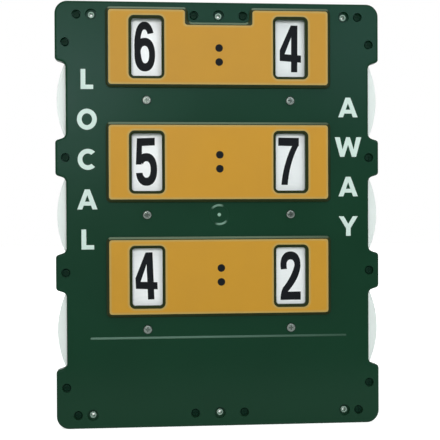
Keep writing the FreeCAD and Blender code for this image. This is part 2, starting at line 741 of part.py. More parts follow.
# The axle of a disc: a barrel nut whose slotted flat head is sunk in the back.
def pivot_barrels():
    body = new_body("pivot_barrels")
    bore = "(sizes.pivot_screw_diameter / 2 + sizes.thread_clearance)"
    bottom = "sizes.barrel_head_sink"
    shoulder = "(sizes.barrel_head_sink + sizes.barrel_head_thickness)"
    floor = "(sizes.barrel_head_sink + sizes.barrel_bottom)"
    section = [("0", bottom), ("sizes.barrel_head_diameter / 2", bottom),
               ("sizes.barrel_head_diameter / 2", shoulder),
               ("sizes.barrel_diameter / 2", shoulder), ("sizes.barrel_diameter / 2", front_boss),
               (bore, front_boss), (bore, floor), ("0", floor)]
    turned(body, "pivot_barrel", f"-{pivot_x}", f"-{row_pitch}", section)
    sketch = front_sketch(body, "barrel_slot", bottom, f"-{pivot_x}", f"-{row_pitch}")
    add_rectangle(sketch, "0", "0", "sizes.barrel_head_diameter", "sizes.barrel_slot_width / 2")
    pocket(body, sketch, "sizes.barrel_slot_depth", True)
    grid(body, "pivot_barrel_grid", pivot_x, row_pitch, 2, 3)
    return body


def shell_screws(label, column, level, levels):
    body = new_body(label)
    pan_screw(body, f"{label}_screw", f"-{column}", f"-{level}",
              f"({face} - sizes.counterbore_depth)", "sizes.shell_screw_floor",
              "sizes.shell_screw_diameter", "sizes.shell_screw_head_diameter",
              "sizes.shell_screw_head_height", "sizes.shell_screw_head_radius")
    grid(body, f"{label}_grid", column, level, 2, levels)
    return body


# Eyelets through both shells, each with a rounded flange on the floor of its recess.
def hang_eyelets():
    body = new_body("hang_eyelets")
    hole = "sizes.eyelet_hole_diameter / 2"
    tube = "(sizes.hang_hole_diameter / 2 - sizes.eyelet_clearance)"
    flange = "sizes.eyelet_flange_diameter / 2"
    bottom = "sizes.eyelet_back_gap"
    top = f"({hang_seat} + sizes.eyelet_flange_rise)"
    section = [(hole, bottom), (tube, bottom), (tube, hang_seat),
               (flange, hang_seat), (flange, top), (hole, top)]
    eyelet = turned(body, "eyelet", f"-{hang_column}", f"-{end_row}", section)
    dress(body, "Fillet", eyelet, edges_at(eyelet, top), "sizes.eyelet_flange_radius")
    grid(body, "eyelet_grid", hang_column, end_row, 3, 2)
    return body


pieces = [front_shell(), back_shell()]
for row_name in rows:
    pieces.append(score_label(row_name))
for row_number, row_name in enumerate(rows):
    for side_number, side_name in enumerate(sides):
        pieces += pivot_stack(row_name, side_name, row_number + side_number)
pieces.append(pivot_screws())
pieces.append(pivot_barrels())
pieces.append(shell_screws("corner_shell_screws", corner_column, end_row, 2))
pieces.append(shell_screws("middle_shell_screws", middle_column, end_row, 2))
pieces.append(shell_screws("side_shell_screws", side_column, f"{row_pitch} * 1.5", 4))
pieces.append(hang_eyelets())
doc.recompute()

for item in doc.Objects:
    if "Invalid" in item.State or "Error" in item.State:
        raise ValueError(f"{item.Name} failed: {item.State}")
for piece in pieces:
    if piece.Shape.isNull() or not piece.Shape.isValid():
        raise ValueError(f"{piece.Label} has no valid shape")

os.makedirs("parts", exist_ok=True)
for piece in pieces:
    piece.Shape.exportStep(f"parts/{piece.Label}.step")
    print(piece.Label, len(piece.Shape.Solids), round(piece.Shape.Volume, 1))
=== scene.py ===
import math

import bmesh
import bpy
from mathutils import Matrix, Vector
from mathutils.geometry import delaunay_2d_cdt


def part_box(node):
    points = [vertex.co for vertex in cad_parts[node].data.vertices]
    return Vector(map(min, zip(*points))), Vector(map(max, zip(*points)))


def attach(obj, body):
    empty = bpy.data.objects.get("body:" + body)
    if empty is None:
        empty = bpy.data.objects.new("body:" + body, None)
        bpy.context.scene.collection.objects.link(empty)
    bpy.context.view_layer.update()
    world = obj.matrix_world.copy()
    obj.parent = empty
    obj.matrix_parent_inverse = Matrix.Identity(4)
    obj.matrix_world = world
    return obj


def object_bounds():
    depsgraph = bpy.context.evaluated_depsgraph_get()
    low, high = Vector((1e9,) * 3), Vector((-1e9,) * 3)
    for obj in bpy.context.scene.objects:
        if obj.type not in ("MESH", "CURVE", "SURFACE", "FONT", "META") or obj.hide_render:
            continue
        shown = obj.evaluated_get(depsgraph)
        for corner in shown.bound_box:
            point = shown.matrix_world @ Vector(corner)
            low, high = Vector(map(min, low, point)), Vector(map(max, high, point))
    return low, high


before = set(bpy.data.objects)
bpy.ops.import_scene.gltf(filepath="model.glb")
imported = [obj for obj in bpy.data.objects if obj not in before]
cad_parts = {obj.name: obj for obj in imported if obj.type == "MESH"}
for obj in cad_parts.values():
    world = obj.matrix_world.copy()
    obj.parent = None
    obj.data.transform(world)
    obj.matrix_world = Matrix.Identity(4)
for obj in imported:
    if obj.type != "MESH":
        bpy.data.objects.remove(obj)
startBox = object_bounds()
scene = bpy.context.scene
scene.view_settings.view_transform = "Standard"
mm = 0.001  # the frame is in metres


# sRGB hex to the linear colour that nodes work in
def hexColor(code):
    channels = [int(code[i:i + 2], 16) / 255 for i in (1, 3, 5)]
    linear = [c / 12.92 if c <= 0.04045 else ((c + 0.055) / 1.055) ** 2.4 for c in channels]
    return (*linear, 1.0)


# texture scale at which one cell of a pattern is this many millimetres wide
def scaleFor(cellMm):
    return 1 / (cellMm * mm)


# settings in millimetres to the frame's metres
def metres(values):
    return [value * mm for value in values]


noiseRange = (0.3, 0.7)  # nearly all values of a noise lie between these


# Adds a node, sets its options, and sets or links its inputs. A colour Mix node has its share at
# input 0, its two colours at 6 and 7, and its result at output 2.
def addNode(tree, kind, options=None, inputs=None):
    node = tree.nodes.new(kind)
    for name, value in (options or {}).items():
        setattr(node, name, value)
    for name, value in (inputs or {}).items():
        if isinstance(value, bpy.types.NodeSocket):
            tree.links.new(value, node.inputs[name])
        else:
            node.inputs[name].default_value = value
    return node


def newMaterial(name):
    material = bpy.data.materials.new(name)
    material.use_nodes = True
    material.node_tree.nodes.clear()
    return material


def dressNodes(material, names):
    for name in names:
        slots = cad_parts[name].data.materials
        slots.clear()
        slots.append(material)


# middle of a node's front face, which is the face towards -Y
def frontCentre(node):
    low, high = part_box(node)
    return Vector(((low.x + high.x) / 2, low.y, (low.z + high.z) / 2))


rowNames = ("top", "middle", "bottom")
sideNames = ("left", "right")

greenMoulding = {
    "color": "#0E3720",
    "deepColor": "#0B301A",
    "cloudMm": 110,
    "grainMm": 2.4,  # real spark grain is about 0.3 mm, drawn coarser so that it shows
    "grainDepthMm": 0.025,
    "grainStrength": 0.5,
    "roughness": (0.28, 0.34),
    "ior": 1.49,
    "specular": 0.115,
    "sheenColor": "#D0EFFF",
    "highlightAndHazeColor": "#93B8A5",
    "markRiseMm": (17.7, 17.9, 18.8, 19.0),  # heights from the back between which the low marks stand
    "gateAxis": (-0.225, 0.0, 0.974),  # painted highlight: the gate ring is lit pale on its two arcs along this line, towards the light at the upper left
    "gateArc": (0.73, 0.98),  # cosine of the angle off that line at which an arc starts and is full
    "gateCover": 0.58,
    "gateMm": (18.0, 16.5),  # distance from the middle of the board within which the gate mark lies
    "nubMm": (3.8, 1.4),  # and within which its nub lies
    "beadLevelMm": (-140, -160),  # below this level, where only the long bead stands out
    "beadCover": 0.36,
    "beadFadeMm": (360, -130),  # columns between which the painted highlight on the bead grows, from right to left
    "shelfRiseMm": (19.0, 20.0),  # past this height a slope that looks up belongs to a score bar
    "shelfTilt": (0.5, 0.65),  # upward share of the normal at which the painted highlight starts and is full
    "upperHalfMm": (0, 10),  # distance above the middle of a bar over which its upper half fades in
    "shelfCover": 0.42,
    "shelfHighlightColor": "#98AE93",
    "shelfFadeMm": (330, 20),  # columns between which the painted highlight on the bars grows, from right to left
    "hazeLevelMm": (-190, -280),  # the colour turns a faint touch paler low on the board
    "hazeCover": 0.02,
    "edgeShadeColor": "#282F10",
    "edgeShadeRiseMm": (20.0, 21.5),  # heights between which the edges of the bars and windows are painted darker, as painted shade
}


# Injection-moulded polypropylene, dyed through: a satin skin with a fine spark-eroded grain that
# spreads the softbox into a wide grey haze. Painted highlights lie on the low moulded marks and along
# the upper slopes of each score bar, the board turns faintly paler low down, and painted shade darkens
# the edges round the labels and windows.
def makeGreenMoulding(settings):
    material = newMaterial("polypropyleneMouldedGreen")
    tree = material.node_tree
    place = addNode(tree, "ShaderNodeTexCoord")
    cloud = addNode(tree, "ShaderNodeTexNoise", {}, {
        "Vector": place.outputs["Object"], "Scale": scaleFor(settings["cloudMm"]), "Detail": 4.0})
    tone = addNode(tree, "ShaderNodeMix", {"data_type": "RGBA"}, {
        0: cloud.outputs["Fac"], 6: hexColor(settings["deepColor"]), 7: hexColor(settings["color"])})

    axes = addNode(tree, "ShaderNodeSeparateXYZ", {}, {0: place.outputs["Object"]})
    across = axes.outputs["X"]
    depth = axes.outputs["Y"]
    level = axes.outputs["Z"]
    facing = addNode(tree, "ShaderNodeSeparateXYZ", {}, {0: place.outputs["Normal"]})
    # way out from the gate mark, which stands in the middle of the frame
    flat = addNode(tree, "ShaderNodeVectorMath", {"operation": "MULTIPLY"}, {
        0: place.outputs["Object"], 1: (1, 0, 1)})
    reach = addNode(tree, "ShaderNodeVectorMath", {"operation": "LENGTH"}, {0: flat.outputs["Vector"]})
    outward = addNode(tree, "ShaderNodeVectorMath", {"operation": "NORMALIZE"}, {
        0: flat.outputs["Vector"]})
    along = addNode(tree, "ShaderNodeVectorMath", {"operation": "DOT_PRODUCT"}, {
        0: outward.outputs["Vector"], 1: settings["gateAxis"]})
    offLine = addNode(tree, "ShaderNodeMath", {"operation": "ABSOLUTE"}, {0: along.outputs["Value"]})
    # level from the middle of the nearest bar, so that the upper half of each bar is above 0
    barLevel = frontCentre("score_label_middle").z
    halfPitch = (frontCentre("score_label_top").z - barLevel) / 2
    centred = addNode(tree, "ShaderNodeMath", {"operation": "SUBTRACT"}, {0: level, 1: barLevel})
    onBar = addNode(tree, "ShaderNodeMath", {"operation": "WRAP"}, {
        0: centred.outputs["Value"], 1: halfPitch, 2: -halfPitch})

    # masks that go from 0 at the first value to the cover, or to 1, at the second
    foot, lower, upper, head = metres(-height for height in settings["markRiseMm"])
    spans = {
        "foot": (depth, foot, lower, 1.0),
        "head": (depth, head, upper, 1.0),
        "arcs": (offLine.outputs["Value"], *settings["gateArc"], settings["gateCover"]),
        "nub": (reach.outputs["Value"], *metres(settings["nubMm"]), 1.0),
        "near": (reach.outputs["Value"], *metres(settings["gateMm"]), 1.0),
        "bead": (level, *metres(settings["beadLevelMm"]), settings["beadCover"]),
        "beadFade": (across, *metres(settings["beadFadeMm"]), 1.0),
        "edgeShade": (depth, *metres(-height for height in settings["edgeShadeRiseMm"]), 1.0),
        "shelfRise": (depth, *metres(-height for height in settings["shelfRiseMm"]), 1.0),
        "shelfTilt": (facing.outputs["Z"], *settings["shelfTilt"], settings["shelfCover"]),
        "shelfFade": (across, *metres(settings["shelfFadeMm"]), 1.0),
        "upperHalf": (onBar.outputs["Value"], *metres(settings["upperHalfMm"]), 1.0),
        "lowHaze": (level, *metres(settings["hazeLevelMm"]), settings["hazeCover"]),
    }
    masks = {}
    for name, (source, first, second, cover) in spans.items():
        masks[name] = addNode(tree, "ShaderNodeMapRange", {"interpolation_type": "SMOOTHSTEP"}, {
            "Value": source, "From Min": first, "From Max": second, "To Max": cover}).outputs["Result"]

    # Each step joins two masks into a new one. Painted highlights lie on two arcs and the nub of the
    # gate mark, thinly all over the bead, and on the bars' upper slopes; a faint paleness lies low on
    # the board.
    for name, operation, one, other in (
            ("low", "MULTIPLY", "foot", "head"),
            ("marked", "MAXIMUM", "arcs", "nub"),
            ("gate", "MULTIPLY", "marked", "near"),
            ("rib", "MULTIPLY", "bead", "beadFade"),
            ("cover", "MAXIMUM", "gate", "rib"),
            ("marks", "MULTIPLY", "low", "cover"),
            ("highlightAndHaze", "MAXIMUM", "marks", "lowHaze"),
            ("slope", "MULTIPLY", "shelfRise", "shelfTilt"),
            ("sill", "MULTIPLY", "slope", "upperHalf"),
            ("shelfHighlight", "MULTIPLY", "sill", "shelfFade")):
        masks[name] = addNode(tree, "ShaderNodeMath", {"operation": operation}, {
            0: masks[one], 1: masks[other]}).outputs["Value"]
    # painted shade: the edges of the bars, round the labels and windows, take the dark colour
    edgeShaded = addNode(tree, "ShaderNodeMix", {"data_type": "RGBA"}, {
        0: masks["edgeShade"], 6: tone.outputs[2], 7: hexColor(settings["edgeShadeColor"])})
    # painted highlight on the gate mark and the bead, and the faint paleness low on the board
    highlighted = addNode(tree, "ShaderNodeMix", {"data_type": "RGBA"}, {
        0: masks["highlightAndHaze"], 6: edgeShaded.outputs[2], 7: hexColor(settings["highlightAndHazeColor"])})
    # painted highlight along the upper slopes of the bars, where the light from above falls
    skinColor = addNode(tree, "ShaderNodeMix", {"data_type": "RGBA"}, {
        0: masks["shelfHighlight"], 6: highlighted.outputs[2], 7: hexColor(settings["shelfHighlightColor"])})

    low, high = settings["roughness"]
    gloss = addNode(tree, "ShaderNodeMapRange", {}, {
        "Value": cloud.outputs["Fac"], "From Min": noiseRange[0], "From Max": noiseRange[1],
        "To Min": low, "To Max": high})
    grain = addNode(tree, "ShaderNodeTexNoise", {}, {
        "Vector": place.outputs["Object"], "Scale": scaleFor(settings["grainMm"]), "Detail": 2.0})
    relief = addNode(tree, "ShaderNodeBump", {}, {
        "Height": grain.outputs["Fac"], "Strength": settings["grainStrength"],
        "Distance": settings["grainDepthMm"] * mm})
    skin = addNode(tree, "ShaderNodeBsdfPrincipled", {}, {
        "Base Color": skinColor.outputs[2], "Roughness": gloss.outputs["Result"],
        "IOR": settings["ior"], "Specular IOR Level": settings["specular"],
        "Specular Tint": hexColor(settings["sheenColor"]), "Normal": relief.outputs["Normal"]})
    addNode(tree, "ShaderNodeOutputMaterial", {}, {"Surface": skin.outputs["BSDF"]})
    return material


labelFilm = {
    # one yellow in a shade for each row, as painted shade: the top row is darker and greyer, to even out
    # the light that falls on the three rows
    "colors": {"top": ("#C2902C", "#BA8A32"), "middle": ("#C89329", "#BF8D2F"),
               "bottom": ("#C8942B", "#BF8E30")},
    "fadeMm": 70,
    "peelMm": 5,
    "peelDepthMm": 0.02,
    "peelStrength": 0.4,
    "roughness": 0.4,
    "ior": 1.5,
    "specular": 0.12,
    "edgeColor": "#B69A58",
    "edgeMm": (0.2, 4.2),  # distances from a cut edge between which the rubbed colour fades out
    # half width, half height and corner radius of each cut-out, and the radius for the sheet itself
    "windowMm": (25.6, 45.1, 8.1),
    "notchMm": (48.5, 21.5, 3.0),
    "cornerMm": 6.0,
}


# Screen-printed vinyl film: an even ochre coat, a little faded in patches and rubbed pale along
# its cut edges, with the soft ripple that a stuck-on film takes from the moulding under it.
def makeLabelFilm(settings, row):
    material = newMaterial("vinylPrintedYellow_" + row)
    tree = material.node_tree
    place = addNode(tree, "ShaderNodeTexCoord")
    fade = addNode(tree, "ShaderNodeTexNoise", {}, {
        "Vector": place.outputs["Object"], "Scale": scaleFor(settings["fadeMm"]), "Detail": 3.0})
    fresh, faded = settings["colors"][row]
    tone = addNode(tree, "ShaderNodeMix", {"data_type": "RGBA"}, {
        0: fade.outputs["Fac"], 6: hexColor(fresh), 7: hexColor(faded)})

    # Distance from the nearest cut edge, with the sheet as a rounded box and its cut-outs as rounded
    # boxes in it. Everything is even about the middle column, so one side stands for both.
    low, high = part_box("score_label_" + row)
    middle = (low + high) / 2
    axes = addNode(tree, "ShaderNodeSeparateXYZ", {}, {0: place.outputs["Object"]})
    folded = addNode(tree, "ShaderNodeMath", {"operation": "ABSOLUTE"}, {0: axes.outputs["X"]})
    spot = addNode(tree, "ShaderNodeCombineXYZ", {}, {
        "X": folded.outputs["Value"], "Z": axes.outputs["Z"]})
    sheetMm = ((high.x - low.x) / 2 / mm, (high.z - low.z) / 2 / mm, settings["cornerMm"])
    pivot = frontCentre("number_disc_middle_right").x
    cuts = [(0, middle.z, sheetMm, -1), (pivot, middle.z, settings["windowMm"], 1)]
    if row == "top":
        cuts.append((0, high.z, settings["notchMm"], 1))
    nearest = None
    for x, z, outlineMm, side in cuts:
        halfWidth, halfHeight, corner = metres(outlineMm)
        offset = addNode(tree, "ShaderNodeVectorMath", {"operation": "SUBTRACT"}, {
            0: spot.outputs["Vector"], 1: (x, 0, z)})
        reach = addNode(tree, "ShaderNodeVectorMath", {"operation": "ABSOLUTE"}, {
            0: offset.outputs["Vector"]})
        beyond = addNode(tree, "ShaderNodeVectorMath", {"operation": "SUBTRACT"}, {
            0: reach.outputs["Vector"], 1: (halfWidth - corner, 0, halfHeight - corner)})
        clipped = addNode(tree, "ShaderNodeVectorMath", {"operation": "MAXIMUM"}, {
            0: beyond.outputs["Vector"], 1: (0, 0, 0)})
        spread = addNode(tree, "ShaderNodeVectorMath", {"operation": "LENGTH"}, {
            0: clipped.outputs["Vector"]})
        gap = addNode(tree, "ShaderNodeMath", {"operation": "MULTIPLY_ADD"}, {
            0: spread.outputs["Value"], 1: side, 2: -side * corner}).outputs["Value"]
        if nearest is None:
            nearest = gap
        else:
            nearest = addNode(tree, "ShaderNodeMath", {"operation": "MINIMUM"}, {
                0: nearest, 1: gap}).outputs["Value"]
    start, end = metres(settings["edgeMm"])
    rubbed = addNode(tree, "ShaderNodeMapRange", {"interpolation_type": "SMOOTHSTEP"}, {
        "Value": nearest, "From Min": end, "From Max": start})
    edged = addNode(tree, "ShaderNodeMix", {"data_type": "RGBA"}, {
        0: rubbed.outputs["Result"], 6: tone.outputs[2], 7: hexColor(settings["edgeColor"])})

    peel = addNode(tree, "ShaderNodeTexNoise", {}, {
        "Vector": place.outputs["Object"], "Scale": scaleFor(settings["peelMm"]), "Detail": 1.0})
    relief = addNode(tree, "ShaderNodeBump", {}, {
        "Height": peel.outputs["Fac"], "Strength": settings["peelStrength"],
        "Distance": settings["peelDepthMm"] * mm})
    film = addNode(tree, "ShaderNodeBsdfPrincipled", {}, {
        "Base Color": edged.outputs[2], "Roughness": settings["roughness"], "IOR": settings["ior"],
        "Specular IOR Level": settings["specular"], "Normal": relief.outputs["Normal"]})
    addNode(tree, "ShaderNodeOutputMaterial", {}, {"Surface": film.outputs["BSDF"]})
    return material


discSheet = {
    "color": "#F8FAFB",
    "scuffColor": "#F0F4F4",
    "paintedShadeColor": "#D4DCDB",
    "paintedShade": {"top_right": 0.5, "middle_right": 0.3, "bottom_right": 0.2},  # share of the painted shade colour: painted shade that dims the right-hand discs to the level of the more shaded left ones
    "rimShadeColor": "#E4ECE8",
    "rimShadeMm": (112, 119),  # from this radius to the rim, painted greyer as painted shade
    "scuffMm": 3.2,
    "scuffDepthMm": 0.01,
    "scuffStrength": 0.3,
    "roughness": (0.3, 0.5),
    "ior": 1.55,
    "specular": 0.3,
}


# Die-cut polystyrene sheet, white right through: satin, with faint rings rubbed into it by
# turning behind the windows; the rim is painted greyer, and the right-hand discs a little grey, as
# painted shade.
def makeDiscSheet(settings, name, pivot):
    material = newMaterial("polystyreneSheetWhite_" + name)
    tree = material.node_tree
    place = addNode(tree, "ShaderNodeTexCoord")
    centred = addNode(tree, "ShaderNodeVectorMath", {"operation": "SUBTRACT"}, {
        0: place.outputs["Object"], 1: pivot})
    radius = addNode(tree, "ShaderNodeVectorMath", {"operation": "LENGTH"}, {
        0: centred.outputs["Vector"]})
    rings = addNode(tree, "ShaderNodeTexNoise", {"noise_dimensions": "1D"}, {
        "W": radius.outputs["Value"], "Scale": scaleFor(settings["scuffMm"]), "Detail": 3.0})
    # painted shade: the right-hand discs take a share of the grey
    share = settings["paintedShade"].get(name, 0)
    paintedShade = Vector(hexColor(settings["paintedShadeColor"]))
    scuffed = Vector(hexColor(settings["scuffColor"])).lerp(paintedShade, share)
    clean = Vector(hexColor(settings["color"])).lerp(paintedShade, share)
    tone = addNode(tree, "ShaderNodeMix", {"data_type": "RGBA"}, {
        0: rings.outputs["Fac"], 6: scuffed, 7: clean})
    start, end = metres(settings["rimShadeMm"])
    rimShade = addNode(tree, "ShaderNodeMapRange", {"interpolation_type": "SMOOTHSTEP"}, {
        "Value": radius.outputs["Value"], "From Min": start, "From Max": end})
    rimShaded = addNode(tree, "ShaderNodeMix", {"data_type": "RGBA"}, {
        0: rimShade.outputs["Result"], 6: tone.outputs[2], 7: hexColor(settings["rimShadeColor"])})
    low, high = settings["roughness"]
    gloss = addNode(tree, "ShaderNodeMapRange", {}, {
        "Value": rings.outputs["Fac"], "From Min": noiseRange[0], "From Max": noiseRange[1],
        "To Min": low, "To Max": high})
    relief = addNode(tree, "ShaderNodeBump", {}, {
        "Height": rings.outputs["Fac"], "Strength": settings["scuffStrength"],
        "Distance": settings["scuffDepthMm"] * mm})
    sheet = addNode(tree, "ShaderNodeBsdfPrincipled", {}, {
        "Base Color": rimShaded.outputs[2], "Roughness": gloss.outputs["Result"], "IOR": settings["ior"],
        "Specular IOR Level": settings["specular"], "Normal": relief.outputs["Normal"]})
    addNode(tree, "ShaderNodeOutputMaterial", {}, {"Surface": sheet.outputs["BSDF"]})
    return material


# Other finishes share one recipe: a speckle that shifts the colour, the gloss and the relief.
speckleStrength = 0.4
plainFinishes = {
    # natural nylon, punched: slightly yellow, waxy
    "nylonNatural": {
        "colors": ("#DAD6C8", "#E6E3D8"), "cellMm": 1.5, "roughness": (0.4, 0.55),
        "depthMm": 0.01, "metallic": 0.0, "ior": 1.53, "specular": 0.4},
    # dull zinc on thin pressed steel: grey, with a painted reflection of the green round it
    "steelZincGreenReflection": {
        "colors": ("#768D81", "#899F93"), "cellMm": 1.0, "roughness": (0.5, 0.6),
        "depthMm": 0.01, "metallic": 1.0, "ior": 1.5, "specular": 0.5},
    # black oxide on steel, deep in green wells: dull near-black, with a strong green cast painted in as
    # reflection of the green walls
    "steelBlackOxideGreenReflection": {
        "colors": ("#06251A", "#0A2F20"), "cellMm": 0.9, "roughness": (0.4, 0.55),
        "depthMm": 0.01, "metallic": 0.0, "ior": 1.5, "specular": 0.07},
    # screen-printed black ink: nearly flat, a trace of grey where it is thin
    "inkPrintedBlack": {
        "colors": ("#0A0E12", "#12171B"), "cellMm": 2.5, "roughness": (0.45, 0.6),
        "depthMm": 0.005, "metallic": 0.0, "ior": 1.5, "specular": 0.08},
    # pad-printed white ink over green: thin, so the green tints it to mint
    "inkPrintedMint": {
        "colors": ("#C6DCD3", "#D6E8E0"), "cellMm": 3, "roughness": (0.45, 0.6),
        "depthMm": 0.005, "metallic": 0.0, "ior": 1.5, "specular": 0.15},
}


def makePlainFinish(name, settings):
    material = newMaterial(name)
    tree = material.node_tree
    place = addNode(tree, "ShaderNodeTexCoord")
    speckle = addNode(tree, "ShaderNodeTexNoise", {}, {
        "Vector": place.outputs["Object"], "Scale": scaleFor(settings["cellMm"]), "Detail": 3.0})
    dark, light = settings["colors"]
    tone = addNode(tree, "ShaderNodeMix", {"data_type": "RGBA"}, {
        0: speckle.outputs["Fac"], 6: hexColor(dark), 7: hexColor(light)})
    low, high = settings["roughness"]
    gloss = addNode(tree, "ShaderNodeMapRange", {}, {
        "Value": speckle.outputs["Fac"], "From Min": noiseRange[0], "From Max": noiseRange[1],
        "To Min": low, "To Max": high})
    relief = addNode(tree, "ShaderNodeBump", {}, {
        "Height": speckle.outputs["Fac"], "Strength": speckleStrength,
        "Distance": settings["depthMm"] * mm})
    finish = addNode(tree, "ShaderNodeBsdfPrincipled", {}, {
        "Base Color": tone.outputs[2], "Roughness": gloss.outputs["Result"],
        "Metallic": settings["metallic"], "IOR": settings["ior"],
        "Specular IOR Level": settings["specular"], "Normal": relief.outputs["Normal"]})
    addNode(tree, "ShaderNodeOutputMaterial", {}, {"Surface": finish.outputs["BSDF"]})
    return material


# What differs at the two ends of a pivot: the way that its head looks, and the heights from the back
# between which its drive recess is painted dark, as painted shade.
pivotHeads = {
    "pivot_screws": {"front": (0, -1, 0), "recessShadeMm": (20.9, 20.4)},
    "pivot_barrels": {"front": (0, 1, 0), "recessShadeMm": (0.5, 0.9)},
}

pivotSteel = {
    "colors": ("#5E6662", "#7E8682"),
    "cellMm": 1.2,
    "roughness": (0.18, 0.3),
    "crownReflectionColor": "#67706B",
    "crownFacing": (0.84, 0.98),  # share of the normal towards the front at which the crown's painted dark reflection starts and is full
    "recessShadeColor": "#464E4A",
}


# Zinc-plated steel heads: the flat crown, which faces the front, is painted a darker grey as painted
# reflection of the dim room there, so the rounded edge stands brighter; the floor of the drive recess is
# painted darker as painted shade.
def makePivotSteel(settings, node, head):
    material = newMaterial("steelZincShaded_" + node)
    tree = material.node_tree
    place = addNode(tree, "ShaderNodeTexCoord")
    speckle = addNode(tree, "ShaderNodeTexNoise", {}, {
        "Vector": place.outputs["Object"], "Scale": scaleFor(settings["cellMm"]), "Detail": 3.0})
    dark, light = settings["colors"]
    tone = addNode(tree, "ShaderNodeMix", {"data_type": "RGBA"}, {
        0: speckle.outputs["Fac"], 6: hexColor(dark), 7: hexColor(light)})
    facing = addNode(tree, "ShaderNodeVectorMath", {"operation": "DOT_PRODUCT"}, {
        0: place.outputs["Normal"], 1: head["front"]})
    start, end = settings["crownFacing"]
    crown = addNode(tree, "ShaderNodeMapRange", {"interpolation_type": "SMOOTHSTEP"}, {
        "Value": facing.outputs["Value"], "From Min": start, "From Max": end})
    crownDimmed = addNode(tree, "ShaderNodeMix", {"data_type": "RGBA"}, {
        0: crown.outputs["Result"], 6: tone.outputs[2], 7: hexColor(settings["crownReflectionColor"])})
    axes = addNode(tree, "ShaderNodeSeparateXYZ", {}, {0: place.outputs["Object"]})
    brim, floor = metres(-height for height in head["recessShadeMm"])
    sunk = addNode(tree, "ShaderNodeMapRange", {"interpolation_type": "SMOOTHSTEP"}, {
        "Value": axes.outputs["Y"], "From Min": brim, "From Max": floor})
    # painted shade on the floor of the drive recess
    recess = addNode(tree, "ShaderNodeMath", {"operation": "MULTIPLY"}, {
        0: sunk.outputs["Result"], 1: crown.outputs["Result"]})
    recessShaded = addNode(tree, "ShaderNodeMix", {"data_type": "RGBA"}, {
        0: recess.outputs["Value"], 6: crownDimmed.outputs[2], 7: hexColor(settings["recessShadeColor"])})
    low, high = settings["roughness"]
    gloss = addNode(tree, "ShaderNodeMapRange", {}, {
        "Value": speckle.outputs["Fac"], "From Min": noiseRange[0], "From Max": noiseRange[1],
        "To Min": low, "To Max": high})
    steel = addNode(tree, "ShaderNodeBsdfPrincipled", {}, {
        "Base Color": recessShaded.outputs[2], "Roughness": gloss.outputs["Result"], "Metallic": 1.0})
    addNode(tree, "ShaderNodeOutputMaterial", {}, {"Surface": steel.outputs["BSDF"]})
    return material


finishes = {name: makePlainFinish(name, settings) for name, settings in plainFinishes.items()}
dressNodes(makeGreenMoulding(greenMoulding), ["front_shell", "back_shell"])
for row in rowNames:
    dressNodes(makeLabelFilm(labelFilm, row), ["score_label_" + row])
for node, head in pivotHeads.items():
    dressNodes(makePivotSteel(pivotSteel, node, head), [node])
dressNodes(finishes["steelZincGreenReflection"], ["hang_eyelets"])
dressNodes(finishes["steelBlackOxideGreenReflection"],
           ["corner_shell_screws", "middle_shell_screws", "side_shell_screws"])
dressNodes(finishes["nylonNatural"],
           [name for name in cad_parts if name.startswith(("friction_washers", "spacer_ring"))])
for row in rowNames:
    for side in sideNames:
        disc = f"number_disc_{row}_{side}"
        dressNodes(makeDiscSheet(discSheet, f"{row}_{side}", frontCentre(disc)), [disc])
print("materials:", len(bpy.data.materials))


# The printed shapes are flat polygons in millimetres, x to the right and y up. A point on an
# ellipse is given by its angle, and a power below 1 makes the ellipse squarer.
def ellipsePoint(center, radii, degrees, power=1.0):
    angle = math.radians(degrees)
    across = math.cos(angle)
    along = math.sin(angle)
    return (center[0] + radii[0] * math.copysign(abs(across) ** power, across),
            center[1] + radii[1] * math.copysign(abs(along) ** power, along))


def steps(start, end, count):
    return [start + (end - start) * i / count for i in range(count + 1)]


# a stroke between two ellipses round one centre; each end gives its outer and inner angle
def arcBand(center, outer, inner, start, end, power=1.0):
    count = 48
    outerLine = [ellipsePoint(center, outer, a, power) for a in steps(start[0], end[0], count)]
    innerLine = [ellipsePoint(center, inner, a, power) for a in steps(start[1], end[1], count)]
    return [[outerLine[i], outerLine[i + 1], innerLine[i + 1], innerLine[i]] for i in range(count)]


def ring(center, outer, inner, power=1.0):
    return arcBand(center, outer, inner, (0, 0), (360, 360), power)


def bend(a, b, c, count=12):
    return [tuple((1 - t) ** 2 * p + 2 * t * (1 - t) * q + t ** 2 * r for p, q, r in zip(a, b, c))
            for t in steps(0, 1, count)]


def block(left, right, low, high):
    return [(left, low), (right, low), (right, high), (left, high)]


